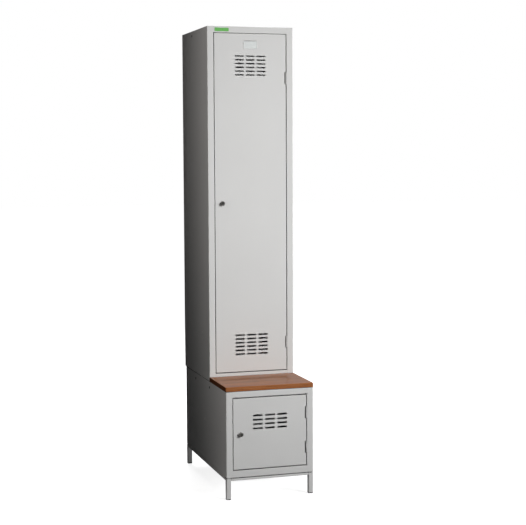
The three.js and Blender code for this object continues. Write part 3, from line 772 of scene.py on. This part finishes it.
def corner_welds(name):
    """The seams between stiles and rails, filled and ground flush before the coat."""
    low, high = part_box(f"{name}_left_side")[0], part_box(f"{name}_top")[1]
    floor_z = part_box(f"{name}_floor")[0].z
    half_gap, depth, proud, corner, ease = 0.00015, 0.0004, 0.00006, 0.0004, 0.00004
    spans = [(floor_z + FOLD, floor_z + RAILS[name]["floor"] - FOLD),
             (high.z - RAILS[name]["top"] + FOLD, high.z - FOLD)]
    welds = bmesh.new()
    for start, end in spans:
        for side in (-1, 1):
            middle = Vector((side * (high.x - STILE - half_gap), low.y + depth, (start + end) / 2))
            outline = rounded_rectangle(WELD_WIDTH / 2, (end - start) / 2, corner)
            slab(outline, depth + proud, 0, ease, facing(middle, X, Z), bm=welds)
    piece(f"{name}_corner_welds", welds, "paint", CABINET)


def on_both_sides(name, suffix, profile, places, finish):
    """Turned fittings on the two sides of a body, at (y, z) places: one piece for each side."""
    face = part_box(f"{name}_right_side")[1].x
    for side, way in (("left", -X), ("right", X)):
        made = bmesh.new()
        for y, z in places:
            turned(profile, Vector((way.x * face, y, z)), way, bm=made, sides=SMALL_SIDES)
        piece(f"{name}_{suffix}_{side}", made, finish, CABINET)


def link_plugs(name):
    """Push-in plugs that close the holes for bolting lockers side by side."""
    front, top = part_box(f"{name}_left_side")[0].y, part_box(f"{name}_top")[1].z
    drop, setbacks = LINK_HOLES[name]
    crown, brim_height, flat, shoulder, brim = 0.0012, 0.0006, 0.0034, 0.0052, 0.0054
    neck, waist, barb, tip = 0.0034, 0.0031, 0.0035, 0.0028
    neck_depth, waist_depth, barb_depth, length, ease = 0.0008, 0.0016, 0.0022, 0.005, 0.0003
    profile = rounded([(0, crown), (flat, crown), (shoulder, brim_height), (brim, 0), (neck, 0),
                       (neck, -neck_depth), (waist, -waist_depth), (barb, -barb_depth), (tip, -length),
                       (0, -length)], ease)
    places = [(front + setback, top - drop) for setback in setbacks]
    on_both_sides(name, "link_plugs", profile, places, "plastic")


def side_rivets(name):
    """Painted rivet heads."""
    front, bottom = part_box(f"{name}_left_side")[0].y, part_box(f"{name}_floor")[0].z
    brim, brim_height, shoulder, shoulder_height, crown = 0.0042, 0.0003, 0.003, 0.0015, 0.0018
    sunk, ease = 0.0002, 0.0003
    profile = rounded([(0, -sunk), (brim, -sunk), (brim, brim_height), (shoulder, shoulder_height),
                       (0, crown)], ease)
    places = [(front + setback, bottom + rise) for setback, rise in RIVETS[name]]
    on_both_sides(name, "rivets", profile, places, "paint")


def packing_strips():
    """Strips that close the joint between the base and its stand along the two sides, drawn in a little."""
    low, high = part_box("base_left_side")[0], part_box("base_right_side")[1]
    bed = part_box("stand_rail_left")[1].z
    set_in, width, end, corner = 0.0006, 0.008, 0.03, 0.0005
    length = high.y - low.y - 2 * end
    strips = bmesh.new()
    for side in (-1, 1):
        middle = Vector((side * (high.x - set_in - width / 2), (low.y + high.y) / 2, bed))
        outline = rounded_rectangle(width / 2, length / 2, corner)
        slab(outline, low.z - bed - EDGE, 0, 0, facing(middle, X, Y), bm=strips)
    piece("stand_packing_strips", strips, "paint", CABINET)


# Bolts and screws: their heads, half their spacing in x, and their places in y or setback from each end
BOLT_FLATS, BOLT_HEAD = 0.010, 0.004
JOINING_BOLTS = (0.12, (0.02, 0.28))
STAND_BOLTS = (0.178, 0.14)
SEAT_SCREWS = (0.13, 0.06)
SEAT_SCREW_HEAD = (0.0045, 0.0022)


def bolts():
    """Bolts through the floors into the body or rail below, and the seat's screws under the base's top."""
    tall_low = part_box("tall_floor")[0]
    base_low, base_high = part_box("base_floor")
    seat_low, seat_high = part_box("seat_board")
    tall_z, base_z = tall_low.z + SHEET, base_low.z + SHEET
    under_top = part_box("base_top")[1].z - SHEET
    joining, standing, seating = bmesh.new(), bmesh.new(), bmesh.new()
    for side in (-1, 1):
        half, places = JOINING_BOLTS
        for y in places:
            hex_bolt(joining, Vector((side * half, y, tall_z)), Z)
        half, setback = STAND_BOLTS
        for y in (base_low.y + setback, base_high.y - setback):
            hex_bolt(standing, Vector((side * half, y, base_z)), Z)
        half, setback = SEAT_SCREWS
        for y in (seat_low.y + setback, seat_high.y - setback):
            place = Vector((side * half, y, under_top))
            turned(pan_head(*SEAT_SCREW_HEAD), place, -Z, bm=seating, sides=SMALL_SIDES)
    piece("body_bolts", joining, "zinc", CABINET)
    piece("stand_bolts", standing, "zinc", CABINET)
    piece("seat_screws", seating, "zinc", CABINET)


def hex_bolt(bm, base, axis):
    """A hexagon head on its washer."""
    share_of_flats, thickness, ease = 0.95, 0.001, 0.0003
    radius = BOLT_FLATS * share_of_flats
    washer = rounded([(0, 0), (radius, 0), (radius, thickness), (0, thickness)], ease)
    turned(washer, base, axis, bm=bm, sides=SMALL_SIDES)
    nut_form(base + axis * thickness, axis, BOLT_FLATS, BOLT_HEAD, 0, bm=bm)


def build_pieces():
    seat()
    for name in LOCKS:
        lock(name)
    hinge_pins()
    buffers()
    coat_rail()
    foot_caps()
    card_holder()
    name_card()
    rail_plate()
    for name in LINK_HOLES:
        corner_welds(name)
        link_plugs(name)
        side_rivets(name)
    packing_strips()
    bolts()


# Floor and world: the light that they throw, and how dark the studio's far end is in reflections
WHITE = (1, 1, 1, 1)
FLOOR_SIZE = 60
FLOOR_LIT = (0.6, 0.6, 0.6, 1)
FLOOR_THROWS = (0.08, 0.08, 0.08, 1)
AMBIENT = 0.017
DARK_END = Vector((-0.65, 0.75, 0.1)).normalized()
DARK_LEVEL = 0.0
DARK_REACH = (0.3, 0.8)


def floor():
    bpy.ops.mesh.primitive_plane_add(size=FLOOR_SIZE)
    made = bpy.context.object
    made.name = "floor"
    made.data.materials.append(floor_material())


def seen_directly(tree):
    """1 for camera, glossy and transmission rays, 0 for the rest."""
    path = node(tree, "LightPath").outputs
    either = math_node(tree, "MAXIMUM", path["Is Camera Ray"], path["Is Glossy Ray"])
    return math_node(tree, "MAXIMUM", either, path["Is Transmission Ray"])


def studio_level(tree, direction):
    """How bright the studio is that way in reflections: white, but dark behind on the left."""
    toward = node(tree, "VectorMath", {0: direction, 1: DARK_END}, operation="DOT_PRODUCT").outputs["Value"]
    return spread(tree, toward, 1.0, DARK_LEVEL, *DARK_REACH)


def floor_material():
    """Pale floor: white where it is seen, but for the shadow near the feet. It throws back little light."""
    made = bpy.data.materials.new("floor_pale")
    made.use_nodes = True
    tree = made.node_tree
    tree.nodes.clear()
    place = node(tree, "TexCoord").outputs["Object"]
    away = node(tree, "VectorMath", {0: place}, operation="LENGTH").outputs["Value"]
    glow = spread(tree, away, low=0.84, high=1.0, start=0.5, end=2.2)
    lit = node(tree, "BsdfDiffuse", {"Color": FLOOR_LIT}).outputs["BSDF"]
    shine = node(tree, "Emission", {"Color": WHITE, "Strength": glow}).outputs["Emission"]
    shown = node(tree, "AddShader", {0: lit, 1: shine}).outputs["Shader"]
    outward = node(tree, "VectorMath", {0: place}, operation="NORMALIZE").outputs["Vector"]
    level = studio_level(tree, outward)
    mirrored = node(tree, "Emission", {"Color": WHITE, "Strength": level}).outputs["Emission"]
    plain = node(tree, "BsdfDiffuse", {"Color": FLOOR_THROWS}).outputs["BSDF"]
    glossy = node(tree, "LightPath").outputs["Is Glossy Ray"]
    seen = node(tree, "MixShader", {0: glossy, 1: shown, 2: mirrored}).outputs["Shader"]
    mix = node(tree, "MixShader", {0: seen_directly(tree), 1: plain, 2: seen}).outputs["Shader"]
    tree.links.new(mix, node(tree, "OutputMaterial").inputs["Surface"])
    return made


def world():
    """White seen directly, with the studio's dark end in reflections, and dim for the rest."""
    made = bpy.data.worlds.new("studio")
    bpy.context.scene.world = made
    made.use_nodes = True
    tree = made.node_tree
    tree.nodes.clear()
    studio = studio_level(tree, node(tree, "TexCoord").outputs["Generated"])
    path = node(tree, "LightPath").outputs
    shown = spread(tree, path["Is Glossy Ray"], 1.0, studio)
    ambient = node(tree, "Background", {"Color": WHITE, "Strength": AMBIENT}).outputs["Background"]
    white = node(tree, "Background", {"Color": WHITE, "Strength": shown}).outputs["Background"]
    mix = node(tree, "MixShader", {0: seen_directly(tree), 1: ambient, 2: white}).outputs["Shader"]
    tree.links.new(mix, node(tree, "OutputWorld").inputs["Surface"])


# Lamps: where each stands and aims, its width and height, its power in watts and its fan in degrees
PLAIN_WHITE, WARM_WHITE = (1, 1, 1), (1.0, 0.955, 0.925)
LAMPS = {
    "key": dict(place=(2.9, -4.0, 3.0), target=(0, -0.1, 1.06), size=(2.4, 2.0), power=40.5, fan=58),
    "side_fill": dict(
        place=(-3.0, -0.9, 1.92), target=(-1.31, -1.97, 1.92), size=(0.4, 1.0), power=43, fan=117,
        color=WARM_WHITE,
    ),
    "stand_fill": dict(
        place=(-0.02, -0.28, 0.045), target=(-0.1, 0.33, 0.045), size=(0.25, 0.03), power=0.14, fan=100,
    ),
    "back_fill": dict(place=(0.3, 3.6, 2.9), target=(0, 0.2, 1.0), size=(1.6, 2.0), power=120, fan=180),
}


def lamp(name, place, target, size, power, fan, color=PLAIN_WHITE):
    data = bpy.data.lights.new(name, "AREA")
    data.color = color
    data.shape, data.size, data.size_y, data.energy = "RECTANGLE", size[0], size[1], power
    data.spread = math.radians(fan)
    made = bpy.data.objects.new(name, data)
    made.visible_camera = made.visible_glossy = False
    made.location = place
    made.rotation_euler = (Vector(target) - Vector(place)).to_track_quat("-Z", "Y").to_euler()
    bpy.context.scene.collection.objects.link(made)


# The camera of the photograph, found from the cabinet's edges
CAMERA_PLACE = (-1.5866, -5.4473, 1.4357)
CAMERA_YAW, CAMERA_PITCH, CAMERA_ROLL = 17.005, 4.80, -0.248
CAMERA_LENS, CAMERA_SENSOR = 88.64, 36.0


def camera():
    data = bpy.data.cameras.new("camera")
    data.lens, data.sensor_width, data.sensor_fit = CAMERA_LENS, CAMERA_SENSOR, "HORIZONTAL"
    made = bpy.data.objects.new("camera", data)
    yaw, pitch, roll = (math.radians(angle) for angle in (CAMERA_YAW, CAMERA_PITCH, CAMERA_ROLL))
    aim = Matrix.Rotation(-yaw, 4, "Z") @ Matrix.Rotation(math.pi / 2 - pitch, 4, "X")
    made.matrix_world = Matrix.Translation(CAMERA_PLACE) @ (aim @ Matrix.Rotation(roll, 4, "Z"))
    bpy.context.scene.collection.objects.link(made)
    bpy.context.scene.camera = made


for old in list(bpy.data.objects):
    if old.type in {"CAMERA", "LIGHT"}:
        bpy.data.objects.remove(old)
camera()
world()
for name, facts in LAMPS.items():
    lamp(name, **facts)
floor()
paint_frame()
build_pieces()
dress_frame([name for name, made in frame["nodes"].items() if not made.hide_render])
bpy.context.scene.view_settings.view_transform = "Standard"
